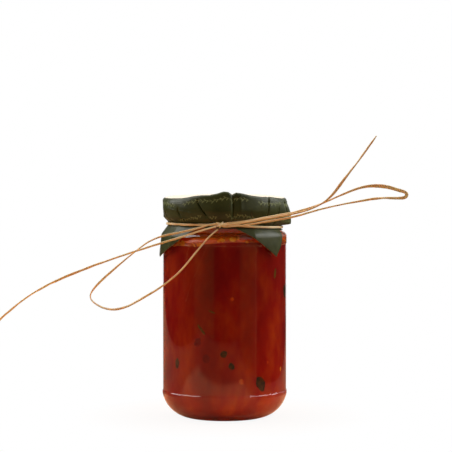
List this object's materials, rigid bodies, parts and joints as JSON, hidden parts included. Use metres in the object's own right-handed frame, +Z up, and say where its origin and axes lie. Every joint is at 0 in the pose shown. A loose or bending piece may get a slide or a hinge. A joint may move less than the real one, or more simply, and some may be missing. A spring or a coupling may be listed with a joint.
{
  "type": "jar of peperonata",
  "caption": "Round glass jar of red pepper sauce under a layer of oil, its lid covered with a square of paper that a raffia bow ties in at the neck.",
  "frame": {"origin": "centre of the ring that the jar stands on", "axes": "+Z up along the jar's axis, the front with the knot faces -Y, +X is to the right of the front"},
  "size_m": [0.222, 0.0734, 0.149],
  "materials": {
    "glass": "clear pressed jar glass",
    "lid_metal": "lacquered tinplate",
    "sauce": "wet, thick red pepper sauce with pieces of vegetable in it",
    "oil": "clear orange-brown oil",
    "paper": "glossy dark green paper with a cream middle and rows of pale green sprigs",
    "raffia": "dry natural raffia"
  },
  "bodies": {
    "root": {"glass_jar": "glass", "lid": "lid_metal", "sauce": "sauce", "oil": "oil", "paper_cover": "paper", "raffia_tie": "raffia", "raffia_knot": "raffia", "loop_left": "raffia", "loop_right": "raffia", "end_left": "raffia", "end_right": "raffia"}
  },
  "joints": []
}
